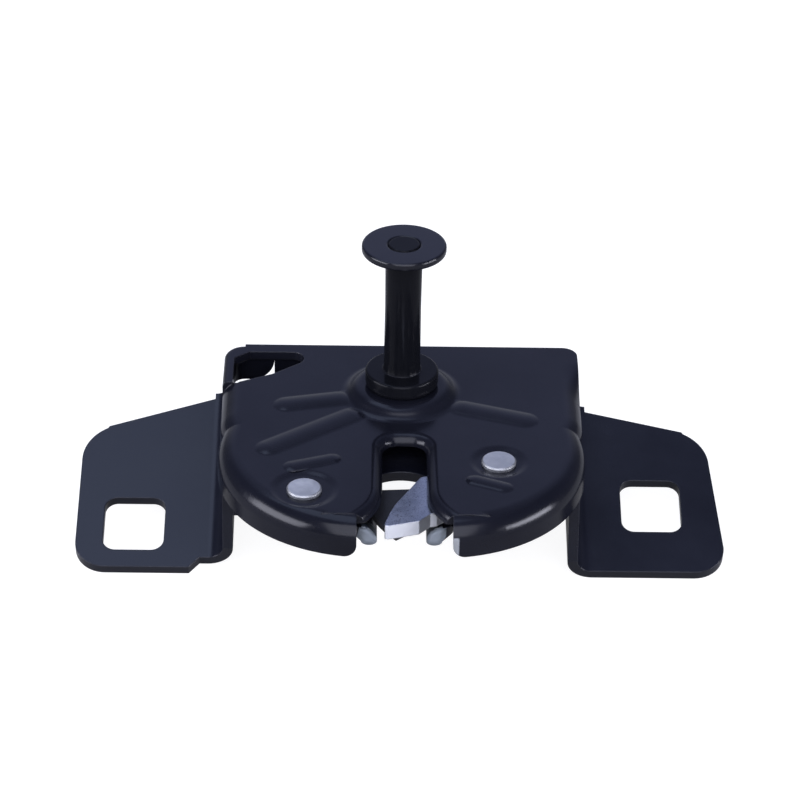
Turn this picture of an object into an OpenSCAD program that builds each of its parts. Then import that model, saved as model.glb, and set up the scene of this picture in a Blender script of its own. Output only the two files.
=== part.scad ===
// Bonnet latch: pressed cover and base plate, rotary claw, release lever and guide stud.
// Millimetres, +Z up. The origin is where the stud's axis meets the top face of the cover.
// The open end of the slot faces -Y.

/* [Cover] */
// Half the width of the cover over its skirt
cover_half = 35; // [33:0.5:38]
// Rear edge of the cover behind the stud
rear_y = 17.6; // [15:0.2:20]
// Front face of the skirt
front_y = -46.6; // [-50:0.2:-45.8]
// Outer radius of the round front corners
corner_r = 28.5; // [25:0.5:31]
// Sheet thickness of the cover
cover_t = 1.8; // [1.5:0.1:2]
// Outer radius of the bend into the skirt
bend_r = 4; // [3:0.2:4.6]
// Depth of the skirt from the top face
skirt_h = 7; // [6.6:0.1:8]
// Front end of the straight sides, where the waist begins
waist_y = -8; // [-9:0.1:-7]
// Right edge of the flat rear part
rear_half = 35; // [33:0.5:37]
// Rise of the boss under the stud
boss_h = 2; // [1.5:0.1:2.4]
// Height of the stiffening beads
bead_h = 0.55; // [0.4:0.05:0.9]

/* [Slot] */
// Middle of the slot across the cover
slot_x = 0.5; // [0:0.1:1]
// Clear width of the slot
slot_w = 8.4; // [8:0.1:9.4]
// Closed end of the slot
slot_end_y = -16.2; // [-18:0.2:-15]
// Radius of the rolled slot edge
roll_r = 2.2; // [2:0.1:2.4]
// Left end of the mouth in the skirt
mouth_left = -8.4; // [-9.5:0.1:-8]
// Right end of the mouth in the skirt
mouth_right = 9.3; // [9:0.1:10]

/* [Base plate] */
// Sheet thickness of the base plate
base_t = 2; // [1.6:0.1:2.4]
// Outside of the legs from the middle
leg_x = 34.2; // [33.5:0.1:36]
// Downward slope of the wings towards the front
wing_pitch = 18; // [12:1:22]
// Rear end of the wings
wing_rear_y = 19.5; // [17:0.5:21]
// Height of the wings' top face at their rear end
wing_z = -12.8; // [-15:0.1:-12.4]
// Outer end of the wings from the middle
wing_end_x = 63; // [60:0.5:68]
// Length of the wings down their slope
wing_len = 44; // [41:0.5:47]
// Width of the square holes
hole_w = 11.8; // [10:0.2:12.4]
// Length of the square holes down the slope
hole_len = 12.8; // [11:0.2:13.4]

/* [Stud] */
// Diameter of the shank
shank_d = 7.1; // [6.4:0.1:8]
// Top of the stud's disc above the cover
stud_top = 33; // [28:0.5:38]
// Diameter of the disc
disc_d = 16.1; // [14:0.1:18]
// Thickness of the disc
disc_t = 1.6; // [1.3:0.1:2]
// Diameter of the collar
collar_d = 14.2; // [13:0.1:15]
// Height of the collar
collar_h = 3.4; // [2.8:0.1:4]

/* [Mechanism] */
// Claw pivot in from the right side of the cover
claw_x = 16.8; // [16.2:0.1:17.2]
// Claw pivot along the latch
claw_y = -24.5; // [-25:0.1:-24]
// Lever pivot in from the left side of the cover
lever_x = 16.8; // [16:0.1:17.2]
// Lever pivot along the latch
lever_y = -34.5; // [-35:0.1:-34]
// Thickness of the claw and the lever
claw_t = 3; // [2.6:0.1:3.1]
// Top of the claw below the cover's top face
claw_top = -2.7; // [-2.8:0.05:-2.6]
// Turn of the claw from open to shut
claw_turn = 52; // [48:1:54]
// Diameter of the pivots' shoulders
pivot_d = 8.5; // [8:0.1:9]
// Diameter of the flat rivet ends seen on the cover
rivet_d = 6.5; // [6.1:0.1:7]
// Depth of the dished seats under the rivet ends
dish = 0.5; // [0.3:0.05:0.55]
// Radius of the claw's rim that the lever's nose rides on
rim_r = 12; // [11.6:0.1:12.4]
// Wire diameter of the springs
wire_d = 0.9; // [0.7:0.05:0.95]

/* [Fits] */
// Running clearance between a pivot and its bore, on the radius
run_c = 0.05; // [0.02:0.01:0.1]
// Clearance of a riveted end in its hole, on the radius
rivet_c = 0.02; // [0.01:0.01:0.05]
// Gap between the lever's nose and the rim it rides on
nose_c = 0.2; // [0.1:0.05:0.4]

/* [Hidden] */
$fn = 64;
eps = 0.01;
strip = 2.4;
mid = strip / 2;
arc_x = cover_half - corner_r;
arc_y = front_y + corner_r;
claw_px = cover_half - claw_x;
lever_px = lever_x - cover_half;
base_top = -skirt_h;
base_low = base_top - base_t;
claw_low = claw_top - claw_t;
skirt_end_y = -1;
waist_r = 16;
tab_bend = 1.2;
tab_front_y = 3.2;
rear_corner = 4;
tab_end_x = -25.2;
tab_stop_x = -17.5;
slot_half = slot_w / 2;
slot_spine = slot_half + roll_r;
slot_corner = 3.2;
flare_y = front_y + 13.2;
flare_r = 12;
flare_cut = front_y + bend_r + 0.05;
boss_in = collar_d / 2 + 0.5;
boss_run = 4.4;
boss_ang = 2 * atan(boss_h / boss_run);
boss_r = boss_run / (2 * sin(boss_ang));
boss_out = boss_in + boss_run;
tenon_r = 2.5;
tail_r = 2.75;
stud_tenon_r = 4.5;
stud_tail_r = 3.5;
lip_r = 3;
lip_half = 4.6;
lip_drop = lip_r;
lip_end_y = -36.8;
leg_bend = 2.6;
wing_bend = 3;
lever_arm_half = 4.5;
lever_end = [-19.9, 9.4];
nose_ang = -9 - claw_turn + 1.5;
throat_r = 4.5;
bore_r = pivot_d / 2 + run_c;
spring_z = (claw_low + base_top) / 2;
coil_r = pivot_d / 2 + 0.35 + wire_d;
pip_r = 1.2;
coat = [0.08, 0.085, 0.12];
zinc = [0.62, 0.65, 0.7];
// Part to show

function arc(cx, cy, r, a0, a1, n) =
  [for (i = [0 : n]) [cx + r * cos(a0 + (a1 - a0) * i / n), cy + r * sin(a0 + (a1 - a0) * i / n)]];
function flip(p) = [for (i = [len(p) - 1 : -1 : 0]) [-p[i][0], p[i][1]]];
// A point of the claw, by radius and by angle from -X towards -Y
function cp(r, a) = [claw_px - r * cos(a), claw_y - r * sin(a)];

// Bend section: a flat strip inside, a quarter bend and a wall down to depth
module bend_section(r, t, depth) {
  intersection() {
    translate([0, -r]) difference() {
      circle(r);
      circle(r - t);
    }
    translate([0, -r]) square(r + 1);
  }
  translate([-strip, -t]) square([strip, t]);
  if (depth > r) translate([r - t, -depth]) square([t, depth - r]);
}

// Solid section of a round-edged rim, out to reach, from top down to depth
module rim_section(reach, r, top, depth, from) {
  intersection() {
    translate([reach - r, top - r]) circle(r);
    translate([reach - r, top - r]) square(r + 1);
  }
  translate([from, -depth]) square([reach - r - from, depth + top]);
  translate([reach - r, -depth]) square([r, depth + top - r]);
}

// Round an outer corner about a centre, the wall on the outside
module sweep_out(cx, cy, r, a0, a1, br, t, depth) {
  translate([cx, cy, 0]) rotate([0, 0, a0]) rotate_extrude(angle = a1 - a0, $fn = 96)
    translate([r, 0]) bend_section(br, t, depth);
}

// Round an inner corner about a centre, the wall on the inside
module sweep_in(cx, cy, r, a0, a1, br, t, depth) {
  translate([cx, cy, 0]) rotate([0, 0, a0]) rotate_extrude(angle = a1 - a0, $fn = 96)
    translate([r, 0]) mirror([1, 0]) bend_section(br, t, depth);
}

// Straight run from a point, turned so that the wall is on the right of the way it goes
module sweep_line(x, y, heading, run, br, t, depth) {
  translate([x, y, 0]) rotate([0, 0, heading - 90]) rotate([90, 0, 0]) translate([0, 0, -run])
    linear_extrude(run) bend_section(br, t, depth);
}

// The cover as a filled block, or the room inside it when drawn smaller by the sheet
module cover_block(in) {
  r = bend_r - in;
  low = in > 0 ? skirt_h + 1 : skirt_h;
  for (side = [-1, 1]) translate([side * arc_x, arc_y, 0])
    rotate_extrude($fn = 160) rim_section(corner_r - in, r, -in, low, 0);
  for (side = [0, 1]) mirror([side, 0, 0]) {
    translate([cover_half - waist_r, waist_y, 0]) rotate([0, 0, -90])
      rotate_extrude(angle = 90, $fn = 96) rim_section(waist_r - in, r, -in, low, 0);
    translate([0, side ? tab_front_y : skirt_end_y, 0]) rotate([90, 0, 0])
      linear_extrude(side ? tab_front_y - waist_y : skirt_end_y - waist_y)
        rim_section(cover_half - in, r, -in, low, 0);
  }
  rear_tab(in, max(tab_bend - in, 0.2), low);
}

// Rear left corner and its tab, bent more sharply round the window
module rear_tab(in, r, low) {
  translate([0, rear_y - rear_corner, 0]) rotate([90, 0, 0]) mirror([1, 0, 0])
    linear_extrude(rear_y - rear_corner - tab_front_y) rim_section(cover_half - in, r, -in, low, 0);
  translate([-cover_half + rear_corner, rear_y - rear_corner, 0]) rotate([0, 0, 90])
    rotate_extrude(angle = 90, $fn = 96) rim_section(rear_corner - in, r, -in, low, 0);
  translate([-cover_half + rear_corner, 0, 0]) rotate([90, 0, 90])
    linear_extrude(cover_half - rear_corner + tab_stop_x + (in > 0 ? 1 : 0))
      rim_section(rear_y - in, r, -in, low, rear_y - rear_corner - 2);
}

// Flat rear part with a cut edge
module rear_sheet() {
  translate([0, 0, -cover_t]) linear_extrude(cover_t) difference() {
    union() {
      translate([tab_end_x, skirt_end_y - 1]) square([rear_half - bend_r - tab_end_x, 2]);
      translate([tab_end_x, skirt_end_y]) square([rear_half - tab_end_x, rear_y - skirt_end_y]);
      translate([-cover_half + rear_corner, rear_y - 2.6]) square([14, 2.6]);
    }
    difference() {
      translate([rear_half - 3, rear_y - 3]) square(4);
      translate([rear_half - 3, rear_y - 3]) circle(3);
    }
  }
}

// Rolled edge of one side of the slot, drawn on the right
module slot_side() {
  sweep_line(slot_x + slot_spine, slot_end_y - slot_corner, -90, slot_end_y - slot_corner - flare_y,
    roll_r, cover_t, roll_r);
  sweep_in(slot_x + slot_half - slot_corner, slot_end_y - slot_corner, slot_corner + roll_r, 0, 90,
    roll_r, cover_t, roll_r);
  difference() {
    sweep_out(slot_x + slot_spine + flare_r, flare_y, flare_r, 180, 270, roll_r, cover_t, roll_r);
    translate([slot_x, flare_cut - 10, -5]) cube([20, 10, 10]);
  }
}

module mirror_slot() {
  translate([slot_x, 0, 0]) mirror([1, 0, 0]) translate([-slot_x, 0, 0]) children();
}

// Room cut in the flat top for the slot and its rolled edge
module slot_cut() {
  edge = concat(
    arc(slot_half - slot_corner, slot_end_y - slot_corner, slot_corner + roll_r + mid, 90, 0, 5),
    arc(slot_spine + flare_r, flare_y, flare_r - mid, 180, 240, 6));
  translate([slot_x, 0, -skirt_h - 1]) linear_extrude(skirt_h + 2) polygon(concat(edge, flip(edge)));
  translate([mouth_left, front_y - 1, -skirt_h - 1])
    cube([mouth_right - mouth_left, 5, skirt_h + 2]);
}

// Takes the lower corner of a skirt end off round, seen from the front
module skirt_round(x, side) {
  translate([x, front_y - 1, -skirt_h]) rotate([-90, 0, 0]) linear_extrude(7) difference() {
    translate([side > 0 ? -0.1 : -2.5, -2.5]) square([2.6, 2.6]);
    translate([side * 2.5, -2.5]) circle(2.5);
  }
}

// Raised bead with round ends between two points, as a shell just thicker than its height
module bead(p, q, w, h, drop) {
  r = (w * w / 4 + h * h) / (2 * h);
  l = norm(q - p);
  half = 1.1 * asin(w / 2 / r);
  in = r - h - cover_t / 2;
  translate([p[0], p[1], h - r - drop]) rotate([0, 0, atan2(q[1] - p[1], q[0] - p[0])])
    rotate([0, 90, 0]) rotate([0, 0, 180 - half]) rotate_extrude(angle = 2 * half, $fn = 96) polygon(concat(
      arc(0, 0, r, -half, 0, 6), arc(0, l, r, 0, half, 6),
      [[in, l + r * sin(half)], [in, -r * sin(half)]]));
}

module beads(drop) {
  bead([-12.3, -2.8], [-22, -5], 6, bead_h, drop);
  bead([-9.8, -8.9], [-25, -20.5], 6, bead_h, drop);
  bead([11.9, -5.8], [23.5, -9.8], 6, bead_h, drop);
  bead([-20.5, -26.9], [-13.2, -24.3], 4, 0.4, drop);
  bead([13.6, -31.2], [18.8, -33.4], 4, 0.45, drop);
}

module boss_section(r0, t) {
  top = [for (i = [0 : 6]) [boss_in + boss_r * sin(boss_ang * i / 6),
    boss_h - boss_r * (1 - cos(boss_ang * i / 6))]];
  low = [for (i = [6 : -1 : 0]) [boss_out - boss_r * sin(boss_ang * i / 6),
    boss_r * (1 - cos(boss_ang * i / 6))]];
  top_in = [for (i = [0 : 6]) [boss_in + (boss_r - t) * sin(boss_ang * i / 6),
    boss_h - boss_r + (boss_r - t) * cos(boss_ang * i / 6)]];
  low_in = [for (i = [6 : -1 : 0]) [boss_out - (boss_r + t) * sin(boss_ang * i / 6),
    boss_r - (boss_r + t) * cos(boss_ang * i / 6)]];
  pts = concat([[r0, boss_h]], top, low, [[boss_out + 1, 0], [boss_out + 1, -t]]);
  back = concat(top_in, low_in);
  polygon(concat(pts, [for (i = [len(back) - 1 : -1 : 0]) back[i]], [[r0, boss_h - t]]));
}

// Dished seat of a pivot, as a cut from the top or the matching bulge below
module seat(x, y, r, z) {
  translate([x, y, z - dish]) cylinder(r1 = r - 2, r2 = r, h = dish);
}

module cover_pan() {
  color(coat) difference() {
    union() {
      difference() {
        union() {
          difference() {
            cover_block(0);
            cover_block(cover_t);
          }
          rear_sheet();
        }
        slot_cut();
        translate([0, 0, -cover_t - 1]) cylinder(r = boss_out + 0.4, h = cover_t + 2);
        window_cut();
        tab_round();
        skirt_round(mouth_left, -1);
        skirt_round(mouth_right, 1);
      }
      slot_side();
      mirror_slot() slot_side();
      sweep_line(slot_x - slot_half + slot_corner, slot_end_y + roll_r, 0, slot_w - 2 * slot_corner,
        roll_r, cover_t, roll_r);
      rotate_extrude($fn = 96) boss_section(stud_tenon_r + rivet_c, cover_t);
      beads(0);
      seat(claw_px, claw_y, 5.9, -cover_t);
      seat(lever_px, lever_y, 6.8, -cover_t);
    }
    seat(claw_px, claw_y, 5.9, eps);
    seat(lever_px, lever_y, 6.8, eps);
    beads(cover_t);
    translate([claw_px, claw_y, -5]) cylinder(r = tenon_r + rivet_c, h = 6);
    translate([lever_px, lever_y, -5]) cylinder(r = tenon_r + rivet_c, h = 6);
  }
}

// Window over the cable end at the rear left
module window_cut() {
  x = -cover_half + 2;
  y = rear_y - 2.8;
  translate([0, 0, -bend_r - 0.2]) linear_extrude(bend_r + 1) polygon(concat(
    [[x, tab_front_y - 0.6], [-30.4, 3.9], [-25.4, 6.3]], arc(-21.6, y - 2.4, 2.4, -50, 90, 6),
    [[x + 3, y], [x, y - 2.4]]));
}

// Notch beside the round corner of the rear tab
module tab_round() {
  r = 4.6;
  translate([tab_end_x, rear_y - cover_t - 0.2, -skirt_h]) rotate([-90, 0, 0]) linear_extrude(3)
    difference() {
      translate([-r, -r]) square([r, r + 0.5]);
      translate([-r, -r]) circle(r);
    }
}

// Wing outline seen along its normal, rear edge at the top, for the right side
module wing_outline(rear_in, slant, notch) {
  r = 9;
  x = wing_end_x - slant;
  difference() {
    union() {
      polygon([[leg_x + wing_bend - eps, -rear_in - 1.4], [x - 0.93 * r + 0.38 * r, -17.2 + r * 0.93],
        [x, -17.2], [wing_end_x, -wing_len + 6], [wing_end_x, -wing_len],
        [leg_x + wing_bend + notch * 3.6, -wing_len],
        [leg_x + wing_bend + notch * 1.6, -wing_len + notch * 2.4],
        [leg_x + wing_bend - eps, -wing_len + notch * 2.4]]);
      translate([x - r, -17.2]) circle(r, $fn = 96);
    }
    difference() {
      translate([wing_end_x - 6, -wing_len - 1]) square([7, 7]);
      translate([wing_end_x - 6, -wing_len + 6]) circle(6);
    }
  }
}

// Square hole with round corners
module square_hole(x, y) {
  r = 2.5;
  translate([x, y]) {
    square([hole_w - 2 * r, hole_len], center = true);
    square([hole_w, hole_len - 2 * r], center = true);
    for (i = [-1, 1], j = [-1, 1])
      translate([i * (hole_w / 2 - r), j * (hole_len / 2 - r)]) circle(r);
  }
}

module wing_place() {
  translate([0, wing_rear_y, wing_z]) rotate([wing_pitch, 0, 0]) children();
}

// Leg and wing of the right side, with a notch beside the leg where notch is 1
module leg_and_wing(rear_in, hx, hy, slant, notch) {
  leg_len = wing_len - 2.4 * notch;
  wing_place() {
    translate([0, 0, -base_t]) linear_extrude(base_t) difference() {
      wing_outline(rear_in, slant, notch);
      square_hole(hx, hy);
    }
    translate([leg_x + wing_bend, -rear_in, wing_bend]) rotate([90, 0, 0])
      linear_extrude(leg_len - rear_in) intersection() {
        difference() {
          circle(wing_bend + base_t, $fn = 96);
          circle(wing_bend, $fn = 96);
        }
        translate([-10, -10]) square([10 + eps, 10 + eps]);
      }
  }
  y_f = wing_rear_y - leg_len * cos(wing_pitch) - wing_bend * sin(wing_pitch);
  z_f = wing_z - leg_len * sin(wing_pitch) + wing_bend * cos(wing_pitch);
  y_r = wing_rear_y - rear_in * cos(wing_pitch) - wing_bend * sin(wing_pitch);
  z_r = wing_z - rear_in * sin(wing_pitch) + wing_bend * cos(wing_pitch);
  translate([leg_x - base_t, 0, 0]) rotate([90, 0, 90]) linear_extrude(base_t) polygon([
    [y_r, z_r - eps], [y_f, z_f - eps], [-20.1, base_top - leg_bend],
    [y_r, base_top - leg_bend]]);
}

// Flat web of the base plate, with its bends to the legs
module web_outline() {
  x = leg_x - leg_bend;
  h = cover_half;
  polygon([[-x, 14.5], [x, 14.5], [x, -20.1], [leg_x - 0.4, -20.1], [h - 6, -31.4], [h - 7.4, -34.2],
    [h - 10.4, -37], [13.4, -39.4], [11.2, -34], [-11.2, -34], [-13.4, -40.2], [15.5 - h, -39.6],
    [10.5 - h, -36.4], [7.8 - h, -33.4], [-leg_x + 0.4, -20.1], [-x, -20.1]]);
}

// Rolled-down lip beside the slot, drawn on the right
module slot_lip() {
  translate([0, 0, base_top]) {
    intersection() {
      sweep_line(lip_half + lip_r, -19, -90, -19 - lip_end_y, lip_r, base_t, lip_drop);
      translate([0, 0, -10]) linear_extrude(11) difference() {
        translate([0, lip_end_y]) square([20, 40]);
        difference() {
          translate([lip_half + 2.6, lip_end_y - 0.1]) square([8, 2.6]);
          translate([lip_half + 2.6, lip_end_y + 2.5]) circle(2.5);
        }
      }
    }
  }
}

// Round inner end of the slot in the base plate
module slot_end() {
  w = lip_half + lip_r + mid;
  r = 7.8;
  difference() {
    translate([-w, -20.5]) square([2 * w, 4]);
    translate([0, -17.7 - r]) circle(r, $fn = 96);
  }
}

module base_plate() {
  color(coat) difference() {
    union() {
      translate([0, 0, base_low]) linear_extrude(base_t) difference() {
        web_outline();
        translate([-lip_half - lip_r - mid, -50]) square([2 * (lip_half + lip_r + mid), 31.1 + mid]);
      }
      translate([0, 0, base_low]) linear_extrude(base_t) slot_end();
      slot_lip();
      mirror([1, 0, 0]) slot_lip();
      leg_bends();
      leg_and_wing(2.4, 49.3, -27.8, 1.6, 0);
      mirror([1, 0, 0]) leg_and_wing(0, 51.8, -33.5, 0, 1);
      translate([-leg_x + base_t - 0.5, -20.4, -15.6]) cube([3.4, 5.5, base_t]);
      pips();
    }
    translate([claw_px, claw_y, -20]) cylinder(r = tail_r + rivet_c, h = 20);
    translate([lever_px, lever_y, -20]) cylinder(r = tail_r + rivet_c, h = 20);
    translate([0, 0, -20]) cylinder(r = stud_tail_r + rivet_c, h = 20);
  }
}

module leg_bends() {
  for (side = [0, 1]) mirror([side, 0, 0]) {
    translate([leg_x - leg_bend, 14.5, base_top]) rotate([90, 0, 0]) linear_extrude(34.6)
      bend_section(leg_bend, base_t, leg_bend);
  }
}

// Where a round pip bears on a spring leg from outside, along the leg from the turn
function leg_side(r, along, side) =
  [along, side * (coil_r + wire_d / 2 + r + 0.03), 0];

// Places of the springs, half a millimetre into the base plate
module claw_spring_place() {
  translate([claw_px, claw_y, base_top - 0.5]) children();
}

module lever_spring_place() {
  translate([lever_px, lever_y, base_top - 0.5]) rotate([0, 0, -60]) mirror([1, 0, 0]) children();
}

// Pressed-up stops and spring rests on the base plate
module pips() {
  h = claw_low - base_top + 0.35;
  translate([claw_px + 7.05, claw_y - 9.5, base_top - 0.5]) cylinder(r = 1.4, h = skirt_h - 2.5);
  claw_spring_place() translate(leg_side(pip_r, 8, -1)) cylinder(r = pip_r, h = h);
  lever_spring_place() translate(leg_side(pip_r, 6, -1)) cylinder(r = pip_r, h = h);
}

module guide_stud() {
  z0 = boss_h;
  z1 = boss_h + collar_h;
  r = shank_d / 2;
  color(coat) rotate_extrude($fn = 96) polygon(concat(
    [[0, base_low - 1.4], [stud_tail_r + 1.2, base_low - 1.4], [stud_tail_r + 1.8, base_low - 0.8],
      [stud_tail_r + 1.8, base_low - eps], [stud_tail_r, base_low - eps],
      [stud_tail_r, boss_h - cover_t - 0.4],
      [stud_tenon_r, boss_h - cover_t - 0.4], [stud_tenon_r, z0], [collar_d / 2 - 1.2, z0]],
    arc(collar_d / 2 - 1.2, z0 + 1.2, 1.2, -90, 0, 6),
    arc(collar_d / 2 - 0.5, z1 - 0.5, 0.5, 0, 90, 4),
    [[r + 0.5, z1], [r + 0.15, z1 + 0.15], [r, z1 + 0.5], [r - 0.1, (z1 + stud_top) / 2],
      [r, stud_top - disc_t - 0.6], [r, stud_top - disc_t], [r - 0.5, stud_top - disc_t],
      [r - 0.5, stud_top - 0.25], [r - 0.75, stud_top], [0, stud_top]]));
}

module stud_head() {
  r = disc_d / 2;
  h0 = shank_d / 2 - 0.5 + rivet_c;
  z = stud_top - disc_t;
  color(coat) rotate_extrude($fn = 96) polygon(concat(
    [[h0, z], [r - 0.35, z]], arc(r - 0.35, z + 0.35, 0.35, -90, 0, 4),
    arc(r - 0.45, z + disc_t - 0.55, 0.45, 0, 90, 5), [[h0 + 0.3, stud_top - 0.1], [h0, stud_top - 0.3]]));
}

module claw_shape() {
  difference() {
    union() {
      translate([claw_px, claw_y]) circle(r = rim_r - 2.5, $fn = 96);
      intersection() {
        translate([claw_px, claw_y]) circle(r = rim_r, $fn = 96);
        polygon([[claw_px, claw_y], cp(rim_r - 2.5, -10.3), cp(rim_r + 0.02, -9), cp(20, -20),
          cp(20, -45), cp(20, -nose_ang * -1 - 8)]);
      }
      polygon([[claw_px, claw_y], cp(rim_r - 3, 3), cp(12.4, 4.4), cp(14.6, 5.9), cp(15.4, 9.6),
        cp(16.2, 13.3), cp(17.5, 18.2), cp(19, 22.4), cp(20.7, 26.2), cp(22.4, 29.4), cp(24.6, 33.8),
        cp(26.6, 37.4), cp(27.6, 39), cp(27.9, 39.9), cp(27.5, 41),
        cp(22.2, 47.2), cp(19.1, 47), cp(15, 56)]);
      polygon([[claw_px, claw_y], cp(15, 52), cp(18, 68), cp(18.8, 73.5), cp(18.4, 77.5), cp(17.6, 82),
        cp(16.9, 86), cp(16.1, 91), cp(14.7, 100), cp(12, 114), cp(9, 135)]);
    }
    translate([claw_px, claw_y]) rotate(claw_turn) translate([-claw_px + slot_x, -3.6]) {
      circle(throat_r);
      translate([-30, -throat_r]) square([30, 2 * throat_r]);
    }
  }
}

module claw() {
  color(zinc) difference() {
    union() {
      translate([0, 0, claw_low]) linear_extrude(claw_t) claw_shape();
      translate([0, 0, claw_low - wire_d - base_top + 0.5]) claw_spring_place()
        translate(leg_side(1, 4.5, 1)) cylinder(r = 1, h = wire_d + 0.5);
    }
    translate([claw_px, claw_y, -12]) cylinder(r = bore_r, h = 12);
  }
}

// Slider under the finger
module claw_pad() {
  color([0.03, 0.03, 0.035]) translate([0, 0, base_top + 0.15])
    linear_extrude(claw_low - base_top - 0.15) difference() {
      intersection() {
        translate([claw_px, claw_y]) circle(r = 25.6, $fn = 128);
        polygon([[claw_px, claw_y], cp(40, 4), cp(40, 24), cp(40, 41)]);
      }
      translate([claw_px, claw_y]) circle(r = 13, $fn = 96);
    }
}

// Shouldered rivet
module pivot(x, y) {
  r = pivot_d / 2;
  top = -dish;
  low = -cover_t - dish;
  color(zinc) translate([x, y, 0]) rotate_extrude($fn = 96) polygon([
    [0, base_low - 1.3], [3.6, base_low - 1.3], [4.3, base_low - 0.7], [4.3, base_low - eps],
    [tail_r, base_low - eps], [tail_r, base_top], [r, base_top], [r, low - eps], [tenon_r, low - eps],
    [tenon_r, top + eps], [rivet_d / 2, top + eps], [rivet_d / 2, top + 0.6],
    [rivet_d / 2 - 0.25, top + 0.85], [0, top + 0.85]]);
}

module claw_pivot() {
  pivot(claw_px, claw_y);
}

module lever_pivot() {
  pivot(lever_px, lever_y);
}

module lever_shape() {
  n = [claw_px - (rim_r + nose_c) * cos(nose_ang), claw_y - (rim_r + nose_c) * sin(nose_ang)];
  o = [-cos(nose_ang), -sin(nose_ang)];
  s = [o[1], -o[0]];
  a = n + 1.1 * s;
  b = n - 1.1 * s;
  union() {
    translate([lever_px, lever_y]) circle(r = 5.6, $fn = 96);
    polygon([[lever_px - 5.3, lever_y + 1.8], [lever_px + 4.8, lever_y + 2.9], [-13.8, -24], [-13.4, -14],
      [-10.4, -10.6], [6.4, -10.6], b + 4.6 * o, b, a, a + 4 * o, [12.6, -8.4], [10.4, -6.1],
      [-11, -6.1], [-14.6, -2.4], lever_end + [lever_arm_half, 0], lever_end - [lever_arm_half, 0],
      [-23.4, -12], [-24.2, -24]]);
    translate(lever_end) circle(r = lever_arm_half, $fn = 96);
    translate(lever_end - [lever_arm_half, 4]) square([2 * lever_arm_half, 4]);
  }
}

module release_lever() {
  color(coat) difference() {
    union() {
      translate([0, 0, claw_low]) linear_extrude(claw_t) lever_shape();
      translate([0, 0, claw_low - wire_d - base_top + 0.5]) lever_spring_place()
        translate(leg_side(1, 6, 1)) cylinder(r = 1, h = wire_d + 0.5);
    }
    translate([lever_px, lever_y, -12]) cylinder(r = pivot_d / 2 + run_c, h = 12);
    translate([lever_end[0], lever_end[1], -12]) cylinder(r = 2.4, h = 12);
    translate([lever_end[0] - lever_arm_half - 1, lever_end[1] - 0.9, -12])
      cube([lever_arm_half + 1, 1.8, 12]);
  }
}

// Hairpin spring: half a turn round the shoulder and two straight legs
module hairpin(long, short) {
  r = wire_d / 2;
  rotate([0, 0, 90]) rotate_extrude(angle = 180, $fn = 96) translate([coil_r, 0]) circle(r, $fn = 24);
  translate([0, -coil_r, 0]) rotate([0, 90, 0]) cylinder(r = r, h = long, $fn = 24);
  translate([0, coil_r, 0]) rotate([0, 90, 0]) cylinder(r = r, h = short, $fn = 24);
}

module claw_spring() {
  color(zinc) translate([0, 0, spring_z - base_top + 0.5]) claw_spring_place() hairpin(9.4, 6);
}

module lever_spring() {
  color(zinc) translate([0, 0, spring_z - base_top + 0.5]) lever_spring_place() hairpin(7.4, 7.4);
}

cover_pan();
base_plate();
guide_stud();
stud_head();
claw();
claw_pad();
claw_pivot();
claw_spring();
release_lever();
lever_pivot();
lever_spring();
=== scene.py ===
# %% [markdown]
# A bonnet latch: two pressed sheets with a claw, a lever and their pivots between them, and a turned
# guide stud on top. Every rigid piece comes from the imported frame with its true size, so this lesson is
# about looking at it well: a camera, a studio, soft shading and the finishes.

# %% Load the frame
import bmesh
import bpy
import math
from mathutils import Matrix, Vector


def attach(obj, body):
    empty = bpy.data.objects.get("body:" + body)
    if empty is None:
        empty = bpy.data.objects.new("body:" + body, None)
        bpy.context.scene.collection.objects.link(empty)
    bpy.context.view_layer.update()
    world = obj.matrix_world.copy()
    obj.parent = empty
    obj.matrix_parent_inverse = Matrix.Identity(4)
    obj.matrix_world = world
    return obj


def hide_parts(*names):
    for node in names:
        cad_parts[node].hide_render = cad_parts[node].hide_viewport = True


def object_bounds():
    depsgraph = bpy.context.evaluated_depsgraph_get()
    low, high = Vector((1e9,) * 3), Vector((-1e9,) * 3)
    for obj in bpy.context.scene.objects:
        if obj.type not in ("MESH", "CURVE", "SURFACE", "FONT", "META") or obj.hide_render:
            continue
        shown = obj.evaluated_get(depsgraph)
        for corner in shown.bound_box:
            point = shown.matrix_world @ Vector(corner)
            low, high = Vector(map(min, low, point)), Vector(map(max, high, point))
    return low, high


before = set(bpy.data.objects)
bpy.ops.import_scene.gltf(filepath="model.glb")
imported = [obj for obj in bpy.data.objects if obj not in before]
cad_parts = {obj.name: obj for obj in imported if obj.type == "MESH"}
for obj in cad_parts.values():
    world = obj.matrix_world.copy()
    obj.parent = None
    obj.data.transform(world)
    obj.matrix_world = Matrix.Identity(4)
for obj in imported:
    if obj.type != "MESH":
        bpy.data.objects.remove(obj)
CAD_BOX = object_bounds()
scene = bpy.context.scene
print("nodes:", sorted(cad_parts))

# %% [markdown]
# The photographer stood in front of the slot and looked down at about 32 degrees with a long lens.
# A camera can be aimed with a constraint, but here its axes are written out: a constraint would still be
# live in the other views. The small roll and turn follow the lean of the stud in the picture.

# %% Camera
LENS_MM = 139.5
SENSOR_MM = 36.0
NEAREST = 0.01
ELEVATION = math.radians(31.7)
ROLL = math.radians(1.08)
TURN = math.radians(-0.83)
DISTANCE = 0.601
AIM = Vector((-0.0003, -0.0029, 0.0))


def camera_axes(turn, elevation, roll):
    level = math.cos(elevation)
    right = Vector((math.cos(turn), math.sin(turn), 0.0))
    ahead = Vector((-math.sin(turn) * level, math.cos(turn) * level, -math.sin(elevation)))
    up = right.cross(ahead)
    return (math.cos(roll) * right + math.sin(roll) * up, math.cos(roll) * up - math.sin(roll) * right, ahead)


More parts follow.
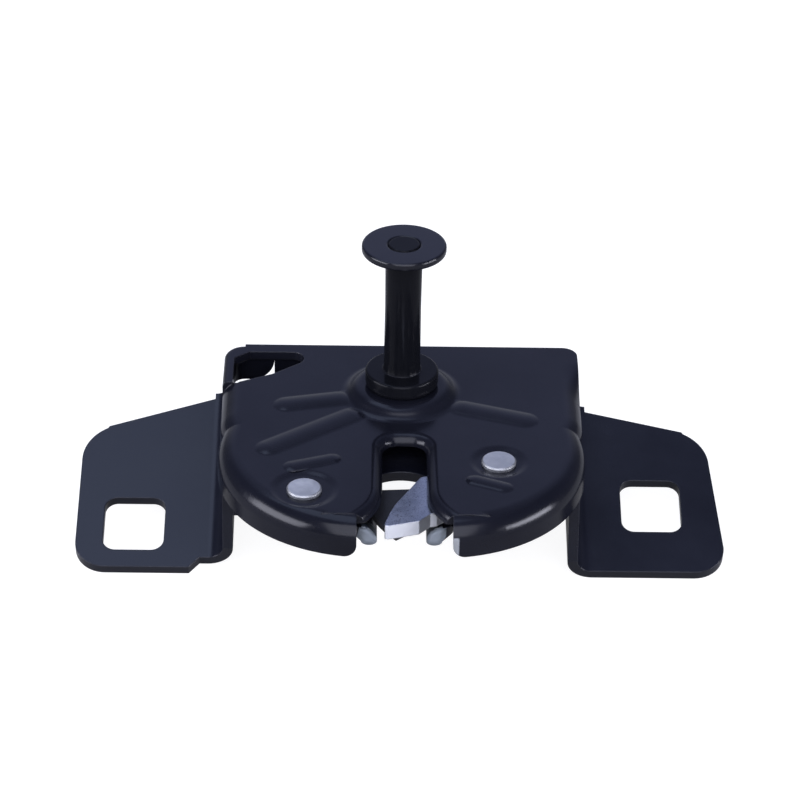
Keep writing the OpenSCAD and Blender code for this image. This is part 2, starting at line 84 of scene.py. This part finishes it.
right, up, ahead = camera_axes(TURN, ELEVATION, ROLL)
lens = bpy.data.cameras.new("camera")
lens.lens = LENS_MM
lens.sensor_width = SENSOR_MM
lens.clip_start = NEAREST
camera = bpy.data.objects.new("camera", lens)
place = Matrix((right, up, -ahead)).transposed().to_4x4()
place.translation = AIM - ahead * DISTANCE
camera.matrix_world = place
scene.collection.objects.link(camera)
scene.camera = camera
print("camera at", [round(c, 3) for c in place.translation])

# %% [markdown]
# The latch stands on a plain pale floor. A floor can be lit until it is white, but the same light would burn
# out the latch. So this one is a plain grey that takes the shadow, and it glows white to the camera's own rays.
# The coat mirrors it too, so a little of the glow is left for glossy rays.

# %% Floor
scene.view_settings.view_transform = "Standard"
FLOOR_Z = CAD_BOX[0][2]
FLOOR_HALF = 3.0
FLOOR_GREY = (0.30, 0.295, 0.28, 1.0)
WHITE = (1.0, 1.0, 1.0, 1.0)
SEEN_GLOW = 0.88
MIRRORED_GLOW = 0.12


def link(tree, a, out, b, into):
    tree.links.new(a.outputs[out], b.inputs[into])


def node(tree, kind, **values):
    """A new node. Each value goes to the input of that name, or else to the node's own setting."""
    made = tree.nodes.new(kind)
    for key, value in values.items():
        if key in made.inputs:
            made.inputs[key].default_value = value
        else:
            setattr(made, key, value)
    return made


def floor_material():
    mat = bpy.data.materials.new("pale_floor")
    mat.use_nodes = True
    tree = mat.node_tree
    tree.nodes.clear()
    out = node(tree, "ShaderNodeOutputMaterial")
    add = node(tree, "ShaderNodeAddShader")
    matt = node(tree, "ShaderNodeBsdfDiffuse", Color=FLOOR_GREY)
    glow = node(tree, "ShaderNodeEmission", Color=WHITE)
    path = node(tree, "ShaderNodeLightPath")
    mirrored = node(tree, "ShaderNodeMath", operation="MAXIMUM")
    dimmed = node(tree, "ShaderNodeMath", operation="MULTIPLY")
    dimmed.inputs[1].default_value = MIRRORED_GLOW
    level = node(tree, "ShaderNodeMath", operation="MULTIPLY_ADD")
    level.inputs[1].default_value = SEEN_GLOW
    link(tree, path, "Is Glossy Ray", mirrored, 0)
    link(tree, path, "Is Transmission Ray", mirrored, 1)
    link(tree, mirrored, 0, dimmed, 0)
    link(tree, path, "Is Camera Ray", level, 0)
    link(tree, dimmed, 0, level, 2)
    link(tree, level, 0, glow, "Strength")
    link(tree, matt, 0, add, 0)
    link(tree, glow, 0, add, 1)
    link(tree, add, 0, out, "Surface")
    return mat


def make_floor():
    mesh = bpy.data.meshes.new("floor")
    corners = ((-1, -1), (1, -1), (1, 1), (-1, 1))
    mesh.from_pydata([(FLOOR_HALF * x, FLOOR_HALF * y, FLOOR_Z) for x, y in corners], [], [(0, 1, 2, 3)])
    floor = bpy.data.objects.new("floor", mesh)
    mesh.materials.append(floor_material())
    scene.collection.objects.link(floor)


make_floor()
print("floor at", round(FLOOR_Z, 4))

# %% [markdown]
# A glossy black coat has almost no colour of its own and shows what stands around it. The room could be a
# picture of a studio, but a ramp is enough: grey near the floor, blue at half height, darker overhead and to
# the sides, so that the soft boxes stand out in the coat. The camera itself sees plain white.

# %% Room
LOW_SKY = (0.50, 0.52, 0.60, 1.0)
MIDDLE_SKY = (0.37, 0.415, 0.69, 1.0)
HIGH_SKY = (0.24, 0.27, 0.44, 1.0)
SIDE_FADE = (("From Min", 0.25), ("From Max", 0.65), ("To Min", 1.0), ("To Max", 0.22))


def make_room():
    world = bpy.data.worlds.new("room")
    scene.world = world
    world.use_nodes = True
    tree = world.node_tree
    tree.nodes.clear()
    out = node(tree, "ShaderNodeOutputWorld")
    mix = node(tree, "ShaderNodeMixShader")
    white = node(tree, "ShaderNodeBackground", Color=WHITE, Strength=1.0)
    dim = node(tree, "ShaderNodeBackground", Strength=1.0)
    path = node(tree, "ShaderNodeLightPath")
    coords = node(tree, "ShaderNodeTexCoord")
    parts = node(tree, "ShaderNodeSeparateXYZ")
    link(tree, coords, "Generated", parts, 0)
    ramp = node(tree, "ShaderNodeValToRGB")
    low, high = ramp.color_ramp.elements
    low.position, low.color = 0.0, LOW_SKY
    high.position, high.color = 0.97, HIGH_SKY
    ramp.color_ramp.elements.new(0.52).color = MIDDLE_SKY
    side = node(tree, "ShaderNodeMath", operation="ABSOLUTE")
    dusk = node(tree, "ShaderNodeMapRange", interpolation_type="SMOOTHSTEP")
    for label, value in SIDE_FADE:
        dusk.inputs[label].default_value = value
    link(tree, parts, "X", side, 0)
    link(tree, side, 0, dusk, "Value")
    link(tree, dusk, 0, dim, "Strength")
    link(tree, parts, "Z", ramp, "Fac")
    link(tree, ramp, "Color", dim, "Color")
    link(tree, path, "Is Camera Ray", mix, 0)
    link(tree, dim, 0, mix, 1)
    link(tree, white, 0, mix, 2)
    link(tree, mix, 0, out, "Surface")


make_room()
print("room:", scene.world.name)

# %% [markdown]
# Each soft box stands where one face of the latch mirrors it: a low one at each side for the bends of the
# skirt, a wide one in front for the beads and the collar, and one overhead for the left wing. Area lamps do
# this best, because their shape is what the coat shows.

# %% Soft boxes
COOL = (0.86, 0.87, 1.0)
FRONT_COOL = (0.88, 0.89, 1.0)
SKY_BLUE = (0.58, 0.70, 1.0)


def soft_box(name, at, aim, size, power, color):
    lamp = bpy.data.lights.new(name, "AREA")
    lamp.shape = "RECTANGLE"
    lamp.size, lamp.size_y = size
    lamp.energy = power
    lamp.color = color
    box = bpy.data.objects.new(name, lamp)
    box.location = at
    box.rotation_euler = (Vector(aim) - Vector(at)).to_track_quat("-Z", "Y").to_euler()
    box.visible_camera = False
    scene.collection.objects.link(box)
    print(name, power, "W")


soft_box("box_left", (-0.80, -0.32, 0.30), (-0.02, -0.03, 0), (0.75, 0.42), 10.0, COOL)
soft_box("box_right", (0.84, -0.32, 0.13), (0.02, -0.03, 0), (0.62, 0.26), 8.4, COOL)
soft_box("box_top", (-0.13, 0.12, 0.72), (-0.03, -0.02, 0), (0.36, 0.60), 1.2, SKY_BLUE)
soft_box("box_front", (0.0, -0.79, 0.54), (0.0, -0.04, 0), (0.9, 0.98), 8.6, FRONT_COOL)

# %% [markdown]
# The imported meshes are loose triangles. To let light flow over the bends, a small Geometry Nodes tree
# joins their corners and smooths every edge that is blunter than a chosen angle, so cut edges stay crisp.
# It sits on each node as a modifier, and leaves the stored mesh as it was. Weighted normals follow it, so a
# wide flat face stays flat beside a small bend.

# %% Soft shading
CRISP = math.radians(28)
WELD = 0.000002
FLAT_WEIGHT = 80


def shading_tree():
    tree = bpy.data.node_groups.new("soft_shading", "GeometryNodeTree")
    tree.interface.new_socket("Geometry", in_out="INPUT", socket_type="NodeSocketGeometry")
    angle = tree.interface.new_socket("Crisp Angle", in_out="INPUT", socket_type="NodeSocketFloat")
    angle.default_value = CRISP
    tree.interface.new_socket("Geometry", in_out="OUTPUT", socket_type="NodeSocketGeometry")
    given = tree.nodes.new("NodeGroupInput")
    result = tree.nodes.new("NodeGroupOutput")
    merge = node(tree, "GeometryNodeMergeByDistance", Distance=WELD)
    bend = node(tree, "GeometryNodeInputMeshEdgeAngle")
    blunt = node(tree, "FunctionNodeCompare", data_type="FLOAT", operation="LESS_THAN")
    faces = node(tree, "GeometryNodeSetShadeSmooth", domain="FACE")
    edges = node(tree, "GeometryNodeSetShadeSmooth", domain="EDGE")
    link(tree, given, "Geometry", merge, "Geometry")
    link(tree, bend, "Unsigned Angle", blunt, "A")
    link(tree, given, "Crisp Angle", blunt, "B")
    link(tree, merge, "Geometry", faces, "Geometry")
    link(tree, faces, "Geometry", edges, "Geometry")
    link(tree, blunt, "Result", edges, "Shade Smooth")
    link(tree, edges, "Geometry", result, "Geometry")
    return tree


def even_normals(obj):
    even = obj.modifiers.new("even_normals", "WEIGHTED_NORMAL")
    even.keep_sharp = True
    even.weight = FLAT_WEIGHT


SHADING = shading_tree()
EASED = ("cover_pan", "base_plate")
for name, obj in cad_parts.items():
    if name not in EASED:
        obj.modifiers.new("soft_shading", "NODES").node_group = SHADING
        even_normals(obj)
print("smoothed", len(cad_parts) - len(EASED), "nodes")

# %% [markdown]
# A press leaves softer forms than a drawing, and on the two sheets they show. They could be drawn as new
# pieces, but a copy of the sheet keeps everything else where it is. So each sheet is copied, its loose
# triangles are merged, a few cuts give it points to move, and the copy stands for the node. At the end flat
# triangles are joined into wide faces, so that the weighted normals keep the flats free of streaks.

# %% Copies of the sheets
CUT_NEAR = 0.000001
FLAT = math.radians(0.1)


def opened(name):
    """A copy of a node's mesh, and its merged points and faces to work on."""
    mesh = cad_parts[name].data.copy()
    for layer in ("custom_normal", "sharp_edge", "sharp_face"):
        if layer in mesh.attributes:
            mesh.attributes.remove(mesh.attributes[layer])
    mesh.materials.clear()
    work = bmesh.new()
    work.from_mesh(mesh)
    for face in work.faces:
        face.material_index = 0
    bmesh.ops.remove_doubles(work, verts=work.verts, dist=WELD)
    return mesh, work


def span(face, axis):
    """The lowest and the highest place of a face along one axis."""
    places = [v.co[axis] for v in face.verts]
    return min(places), max(places)


def cut(work, axis, places, inside):
    """Cuts the faces inside a region along planes across one axis."""
    across = Vector([float(i == axis) for i in range(3)])
    for place in places:
        faces = [f for f in work.faces if inside(f)]
        parts = faces + list({e for f in faces for e in f.edges}) + list({v for f in faces for v in f.verts})
        bmesh.ops.bisect_plane(work, geom=parts, dist=CUT_NEAR, plane_co=across * place, plane_no=across)


def closed(mesh, work, piece_name, name):
    """The finished copy, as a piece that stands for the node."""
    bmesh.ops.dissolve_limit(work, angle_limit=FLAT, verts=work.verts, edges=work.edges, delimit={"MATERIAL"})
    for face in work.faces:
        face.smooth = True
    for edge in work.edges:
        edge.smooth = len(edge.link_faces) == 2 and edge.calc_face_angle(0.0) < CRISP
    for slot in range(1 + max(face.material_index for face in work.faces)):
        mesh.materials.append(None)
    work.to_mesh(mesh)
    work.free()
    piece = bpy.data.objects.new(piece_name, mesh)
    scene.collection.objects.link(piece)
    even_normals(piece)
    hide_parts(name)
    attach(piece, "frame")
    print(piece_name, "has", len(mesh.polygons), "faces")
    return piece


# %% [markdown]
# On the real cover the flat rear edge rolls down little by little into the skirt on the right. The bend of the
# skirt already has the right arc, so the flat is cut along the arc's own lines and lowered onto it, fully at the
# step where the two meet and less and less towards the rear.

# %% Rolled edge of the cover
NEAR = 0.00001
ARC_WELD = 0.000004
ROWS = 8


def ease_cover(bend=0.004, side=0.035, sheet=0.0018, front=-0.001, back=0.012, before=0.0002):
    """Rolls the flat rear edge down into the skirt's bend on the right."""
    mesh, work = opened("cover_pan")
    start, length = side - bend, back - front
    arc = sorted({round(v.co.x, 6) for v in work.verts
                  if abs(v.co.y - front) < NEAR and v.co.x > start - NEAR
                  and abs(math.hypot(v.co.x - start, v.co.z + bend) - bend) < NEAR})
    cut(work, 1, [front + length * i / ROWS for i in range(1, ROWS + 1)],
        lambda f: span(f, 0)[1] > start and span(f, 1)[1] > front)
    cut(work, 0, arc, lambda f: span(f, 0)[1] > start and span(f, 1)[0] > front - before)
    moved = 0
    for v in work.verts:
        if v.co.x > start and v.co.y > front - NEAR and v.co.z > -sheet - NEAR:
            reach = min(v.co.x - start, bend)
            fall = bend - math.sqrt(max(bend * bend - reach * reach, 0.0))
            run = min(max((back - v.co.y) / length, 0.0), 1.0)
            if v.co.y < front + NEAR:
                v.co.z = min(v.co.z, -fall)
            else:
                v.co.z -= fall * run * run * (3.0 - 2.0 * run)
            moved += 1
    bmesh.ops.remove_doubles(work, verts=work.verts, dist=ARC_WELD)
    print("cover: rolled", moved, "points along", len(arc), "lines of the bend")
    return closed(mesh, work, "eased_cover", "cover_pan")


COVER = ease_cover()

# %% [markdown]
# On the real base plate the front ends of the slot's lips are hammered full and round, and show bare steel.
# The drawn lip is an open bend there. Its inner arc is swung down past the edge of the sheet, which fills the
# bend and gives it a round underside, and the faces of that end get a second finish.

# %% Full ends of the lips
BARE_X = (0.0044, 0.0080)
BARE_TOP = -0.0069


def ease_base(middle=0.0076, low=-0.010, drop=0.0015, full=-0.0346, flatter=0.6,
              inner=0.0012, rear=-0.0180, beside=0.0110, slack=0.0001):
    """Fills the bend at the front ends of the two lips, down to a round underside."""
    mesh, work = opened("base_plate")
    cut(work, 1, [full], lambda f: span(f, 1)[1] < rear and max(map(abs, span(f, 0))) < beside)
    moved = 0
    for v in work.verts:
        across, rise = middle - abs(v.co.x), v.co.z - low
        if v.co.y < full + slack and math.hypot(across, rise) < inner:
            turn = 2.0 * math.atan2(across, rise)
            v.co.x = math.copysign(middle - drop + drop * math.cos(turn), v.co.x)
            v.co.z = low - flatter * drop * math.sin(turn)
            moved += 1
    bmesh.ops.remove_doubles(work, verts=work.verts, dist=WELD)
    for face in work.faces:
        at = face.calc_center_median()
        if at.y < full and BARE_X[0] < abs(at.x) < BARE_X[1] and at.z < BARE_TOP:
            face.material_index = 1
    print("base plate: filled", moved, "points")
    return closed(mesh, work, "eased_base", "base_plate")


BASE = ease_base()

# %% [markdown]
# All the finishes share one effect: a fine skin. Dipped paint dries with a faint orange peel, plated steel
# keeps the grain of the rolled sheet, and moulded plastic has a spark-eroded grain. Each is a fine and a broad
# noise, so one node group makes them, with its scales as inputs. The group also rounds the edges: Blender's
# Bevel node gives the normal that a broken edge would have, and where that normal leaves the face's own one,
# the edge is marked in patches. That mark paints the edges paler, partly as wear and partly as a painted
# highlight, the light line that a rounded edge catches.

# %% Node group: skin
SKIN_INPUTS = (("Fine Scale", 900.0), ("Broad Scale", 60.0), ("Peel", 0.1), ("Edge Radius", 0.0004))
PEEL_DEPTH = 0.0001
EDGE_STARTS, EDGE_FULL = 0.97, 0.80


def skin_group():
    tree = bpy.data.node_groups.new("skin", "ShaderNodeTree")
    for label, value in SKIN_INPUTS:
        tree.interface.new_socket(label, in_out="INPUT", socket_type="NodeSocketFloat").default_value = value
    tree.interface.new_socket("Normal", in_out="OUTPUT", socket_type="NodeSocketVector")
    for label in ("Mask", "Grain", "Edge Wear And Sheen"):
        tree.interface.new_socket(label, in_out="OUTPUT", socket_type="NodeSocketFloat")
    given = tree.nodes.new("NodeGroupInput")
    result = tree.nodes.new("NodeGroupOutput")
    coords = node(tree, "ShaderNodeTexCoord")
    fine = node(tree, "ShaderNodeTexNoise", Detail=2.0, Roughness=0.5)
    broad = node(tree, "ShaderNodeTexNoise", Detail=5.0, Roughness=0.62)
    peel = node(tree, "ShaderNodeBump", Distance=PEEL_DEPTH)
    edge = node(tree, "ShaderNodeBevel", samples=4)
    face = node(tree, "ShaderNodeNewGeometry")
    same = node(tree, "ShaderNodeVectorMath", operation="DOT_PRODUCT")
    turned = node(tree, "ShaderNodeMapRange")
    turned.inputs["From Min"].default_value = EDGE_STARTS
    turned.inputs["From Max"].default_value = EDGE_FULL
    # The patchy edge mask: it paints edges paler, partly as wear and partly as a painted highlight.
    patchy_wear_and_sheen = node(tree, "ShaderNodeMath", operation="MULTIPLY")
    for noise, scale in ((fine, "Fine Scale"), (broad, "Broad Scale")):
        link(tree, coords, "Object", noise, "Vector")
        link(tree, given, scale, noise, "Scale")
    link(tree, given, "Edge Radius", edge, "Radius")
    link(tree, given, "Peel", peel, "Strength")
    link(tree, fine, 0, peel, "Height")
    link(tree, edge, "Normal", peel, "Normal")
    link(tree, edge, "Normal", same, 0)
    link(tree, face, "Normal", same, 1)
    link(tree, same, "Value", turned, "Value")
    link(tree, turned, 0, patchy_wear_and_sheen, 0)
    link(tree, broad, 0, patchy_wear_and_sheen, 1)
    link(tree, peel, 0, result, "Normal")
    link(tree, broad, 0, result, "Mask")
    link(tree, fine, 0, result, "Grain")
    link(tree, patchy_wear_and_sheen, 0, result, "Edge Wear And Sheen")
    return tree


SKIN = skin_group()
print("skin group:", [s.name for s in SKIN.interface.items_tree])

# %% [markdown]
# A finish is built from the same few steps: place the skin, spread a mask over a range of values or between
# two tones, and lay one colour over another. Each step could be written out in every material, but small
# helpers keep the materials short enough to read. A Mix node has a socket for every kind of value, so the ones
# in use are named first.

# %% Steps of a finish
FACTOR, FLOAT_A, FLOAT_B, COLOUR_A, COLOUR_B, MIXED_COLOUR = 0, 2, 3, 6, 7, 2
MASK_LOW, MASK_HIGH = 0.3, 0.7


def use_skin(tree, surface, fine, broad, peel, edge=0.0004):
    placed = tree.nodes.new("ShaderNodeGroup")
    placed.node_tree = SKIN
    for label, value in (("Fine Scale", fine), ("Broad Scale", broad), ("Peel", peel), ("Edge Radius", edge)):
        placed.inputs[label].default_value = value
    link(tree, placed, "Normal", surface, "Normal")
    return placed


def spread(tree, source, out, low, high):
    """A value that runs from low to high with a mask."""
    run = node(tree, "ShaderNodeMapRange")
    run.inputs["From Min"].default_value = MASK_LOW
    run.inputs["From Max"].default_value = MASK_HIGH
    run.inputs["To Min"].default_value = low
    run.inputs["To Max"].default_value = high
    link(tree, source, out, run, "Value")
    return run


def tones(tree, source, out, dark, pale):
    """A colour that runs from dark to pale with a mask."""
    ramp = node(tree, "ShaderNodeValToRGB")
    first, last = ramp.color_ramp.elements
    first.position, first.color = MASK_LOW, dark + (1.0,)
    last.position, last.color = MASK_HIGH, pale + (1.0,)
    link(tree, source, out, ramp, "Fac")
    return ramp


def over(tree, under, under_out, mask, mask_out, colour):
    """A colour laid over another by a mask."""
    mix = node(tree, "ShaderNodeMix", data_type="RGBA")
    link(tree, mask, mask_out, mix, FACTOR)
    link(tree, under, under_out, mix, COLOUR_A)
    mix.inputs[COLOUR_B].default_value = colour + (1.0,)
    return mix


def new_material(name):
    mat = bpy.data.materials.new(name)
    mat.use_nodes = True
    tree = mat.node_tree
    print("finish:", name)
    return mat, tree, tree.nodes["Principled BSDF"]


# %% [markdown]
# Black dip coat: the steel is drawn through a bath and baked, so the coat is thin, even and glossy, with a
# blue cast and a faint peel. It could be a clear coat over a dark paint, but it reflects less than clear
# lacquer, so one plain gloss with a low reflection is nearer. It pulls thin on sharp edges, and these are
# painted paler, partly for the thin coat and partly as a painted highlight where the edges catch light.

# %% Black dip coat
THIN_COAT_AND_SHEEN = (0.035, 0.036, 0.042)
SMOOTHER, ROUGHER = 0.8, 1.3


def dip_coat(name, dark, pale, rough, gloss):
    mat, tree, surface = new_material(name)
    skin = use_skin(tree, surface, fine=620.0, broad=46.0, peel=0.06)
    colour = tones(tree, skin, "Mask", dark, pale)
    # Paler edges: partly a thin, worn coat and partly a painted highlight.
    worn_and_sheen = over(tree, colour, "Color", skin, "Edge Wear And Sheen", THIN_COAT_AND_SHEEN)
    link(tree, worn_and_sheen, MIXED_COLOUR, surface, "Base Color")
    link(tree, spread(tree, skin, "Mask", rough * SMOOTHER, rough * ROUGHER), 0, surface, "Roughness")
    surface.inputs["Specular IOR Level"].default_value = gloss
    return mat


COVER_COAT = dip_coat("cover_coat", (0.0042, 0.0045, 0.0072), (0.0070, 0.0075, 0.0118), rough=0.18, gloss=0.22)
BASE_COAT = dip_coat("base_coat", (0.0045, 0.0050, 0.0085), (0.0080, 0.0088, 0.0140), rough=0.21, gloss=0.30)
LEVER_COAT = dip_coat("lever_coat", (0.0040, 0.0040, 0.0045), (0.0075, 0.0075, 0.0082), rough=0.34, gloss=0.24)
STUD_COAT = dip_coat("stud_coat", (0.0030, 0.0032, 0.0043), (0.0055, 0.0058, 0.0076), rough=0.13, gloss=0.09)
HEAD_COAT = dip_coat("head_coat", (0.0042, 0.0045, 0.0072), (0.0070, 0.0075, 0.0118), rough=0.17, gloss=0.35)

# %% [markdown]
# At the mouth of the slot the striker and the press tool have rubbed the coat off one end of the skirt, and
# bright steel shows. The bare place could be a face with its own material, but its edge is soft. So a soft box
# round a point, in the piece's own coordinates, is the mask between coat and metal.

# %% Rubbed end of the skirt
BARE_STEEL = (0.66, 0.69, 0.72)
RUBBED_MIDDLE = (0.0094, -0.0455, -0.0052)
RUBBED_HALF = (0.0006, 0.0030, 0.0020)
RUBBED_FADE = 0.0005


def rubbed(mat, middle, half, fade, bare_colour):
    """Bare steel in a soft box round a point."""
    tree = mat.node_tree
    surface = tree.nodes["Principled BSDF"]
    coords = node(tree, "ShaderNodeTexCoord")
    shift = node(tree, "ShaderNodeVectorMath", operation="SUBTRACT")
    shift.inputs[1].default_value = middle
    size = node(tree, "ShaderNodeVectorMath", operation="ABSOLUTE")
    axes = node(tree, "ShaderNodeSeparateXYZ")
    link(tree, coords, "Object", shift, 0)
    link(tree, shift, 0, size, 0)
    link(tree, size, 0, axes, 0)
    mask = None
    for axis, reach in zip("XYZ", half):
        inside = node(tree, "ShaderNodeMapRange")
        inside.inputs["From Min"].default_value = reach + fade
        inside.inputs["From Max"].default_value = reach
        link(tree, axes, axis, inside, "Value")
        if mask:
            both = node(tree, "ShaderNodeMath", operation="MULTIPLY")
            link(tree, mask, 0, both, 0)
            link(tree, inside, 0, both, 1)
            inside = both
        mask = inside
    link(tree, mask, 0, surface, "Metallic")
    coat = surface.inputs["Base Color"].links[0].from_node
    bare = over(tree, coat, MIXED_COLOUR, mask, 0, bare_colour)
    link(tree, bare, MIXED_COLOUR, surface, "Base Color")
    print("rubbed:", mat.name)


rubbed(COVER_COAT, RUBBED_MIDDLE, RUBBED_HALF, RUBBED_FADE, BARE_STEEL)

# %% [markdown]
# Zinc plate: the claw and the rivets are plated bright and passivated, which leaves a bluish, slightly cloudy
# metal with the sheet's grain under it. A metal's colour is its reflection, so the base colour is pale and
# cool, and the cloudiness is in the roughness. The sheared faces differ from the rolled ones and are drawn
# round by the punch, so their colour and their normal look at which way a face points. The springs and the
# bare lips are plain steel, made the same way with darker tones.

# %% Zinc plate and bare steel
ROLLED_Z, SHEARED_Z = 0.92, 0.6
SHEARED_ROUGH = 0.5
SHEET_GRAIN = 4200.0


def plated(name, dark, pale, rough, peel, sheared, drawn, edge, cloud=170.0):
    mat, tree, surface = new_material(name)
    skin = use_skin(tree, surface, SHEET_GRAIN, cloud, peel, edge)
    colour = tones(tree, skin, "Mask", dark, pale)
    face = node(tree, "ShaderNodeNewGeometry")
    axes = node(tree, "ShaderNodeSeparateXYZ")
    upright = node(tree, "ShaderNodeMapRange")
    upright.inputs["From Min"].default_value = ROLLED_Z
    upright.inputs["From Max"].default_value = SHEARED_Z
    link(tree, face, "Normal", axes, 0)
    link(tree, axes, "Z", upright, "Value")
    sides = over(tree, colour, "Color", upright, 0, sheared)
    link(tree, sides, MIXED_COLOUR, surface, "Base Color")
    tilt = node(tree, "ShaderNodeMath", operation="MULTIPLY")
    tilt.inputs[1].default_value = drawn
    rise = node(tree, "ShaderNodeCombineXYZ")
    lean = node(tree, "ShaderNodeVectorMath", operation="ADD")
    link(tree, upright, 0, tilt, 0)
    link(tree, tilt, 0, rise, "Z")
    link(tree, skin, "Normal", lean, 0)
    link(tree, rise, 0, lean, 1)
    link(tree, lean, 0, surface, "Normal")
    torn = node(tree, "ShaderNodeMix", data_type="FLOAT")
    torn.inputs[FLOAT_B].default_value = SHEARED_ROUGH
    link(tree, upright, 0, torn, FACTOR)
    link(tree, spread(tree, skin, "Grain", rough * SMOOTHER, rough * ROUGHER), 0, torn, FLOAT_A)
    link(tree, torn, 0, surface, "Roughness")
    surface.inputs["Metallic"].default_value = 1.0
    return mat


CLAW_ZINC = plated("claw_zinc", (0.36, 0.40, 0.47), (0.66, 0.69, 0.75), rough=0.30, peel=0.14,
                   sheared=(0.49, 0.50, 0.51), drawn=0.42, edge=0.0003)
RIVET_ZINC = plated("rivet_zinc", (0.46, 0.46, 0.44), (0.74, 0.73, 0.68), rough=0.42, peel=0.25,
                    sheared=(0.30, 0.31, 0.33), drawn=0.0, edge=0.0002)
LIP_STEEL = plated("lip_steel", (0.10, 0.12, 0.13), (0.46, 0.50, 0.54), rough=0.30, peel=0.10,
                   sheared=(0.22, 0.245, 0.27), drawn=0.3, edge=0.0014, cloud=520.0)
WIRE_STEEL = plated("wire_steel", (0.30, 0.30, 0.31), (0.46, 0.46, 0.48), rough=0.35, peel=0.10,
                    sheared=(0.40, 0.40, 0.41), drawn=0.0, edge=0.0001)

# %% [markdown]
# The slider under the claw is moulded in black acetal. Its mould was spark-eroded, so it is matt with an even
# grain. The grain could be modelled, but it is far too fine, so a bump from the same skin group gives it, with
# a rough, uncoated surface.

# %% Black acetal
def acetal():
    mat, tree, surface = new_material("black_acetal")
    skin = use_skin(tree, surface, fine=2200.0, broad=160.0, peel=0.4)
    colour = tones(tree, skin, "Mask", (0.010, 0.010, 0.011), (0.022, 0.022, 0.024))
    # Paler edges from the skin's edge mask: partly wear, partly a painted highlight.
    worn_and_sheen = over(tree, colour, "Color", skin, "Edge Wear And Sheen", (0.05, 0.05, 0.05))
    link(tree, worn_and_sheen, MIXED_COLOUR, surface, "Base Color")
    link(tree, spread(tree, skin, "Mask", 0.5, 0.66), 0, surface, "Roughness")
    return mat


SLIDER_ACETAL = acetal()

# %% [markdown]
# Now every piece gets its finish. A slot can be filled by hand for each piece, but a table of names is easier to
# check against the real latch. The base plate has two slots: the coat, and the bare ends of its lips.

# %% Finishes on the pieces
FINISHES = {
    "release_lever": LEVER_COAT, "guide_stud": STUD_COAT, "stud_head": HEAD_COAT,
    "claw": CLAW_ZINC, "claw_pivot": RIVET_ZINC, "lever_pivot": RIVET_ZINC,
    "claw_spring": WIRE_STEEL, "lever_spring": WIRE_STEEL, "claw_pad": SLIDER_ACETAL,
}


def finish_piece(obj, *finishes):
    while len(obj.material_slots) < len(finishes):
        obj.data.materials.append(None)
    for slot, finish in zip(obj.material_slots, finishes):
        slot.material = finish


for name, finish in FINISHES.items():
    finish_piece(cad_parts[name], finish)
finish_piece(COVER, COVER_COAT)
finish_piece(BASE, BASE_COAT, LIP_STEEL)
print("finished", len(FINISHES) + len(EASED), "pieces")
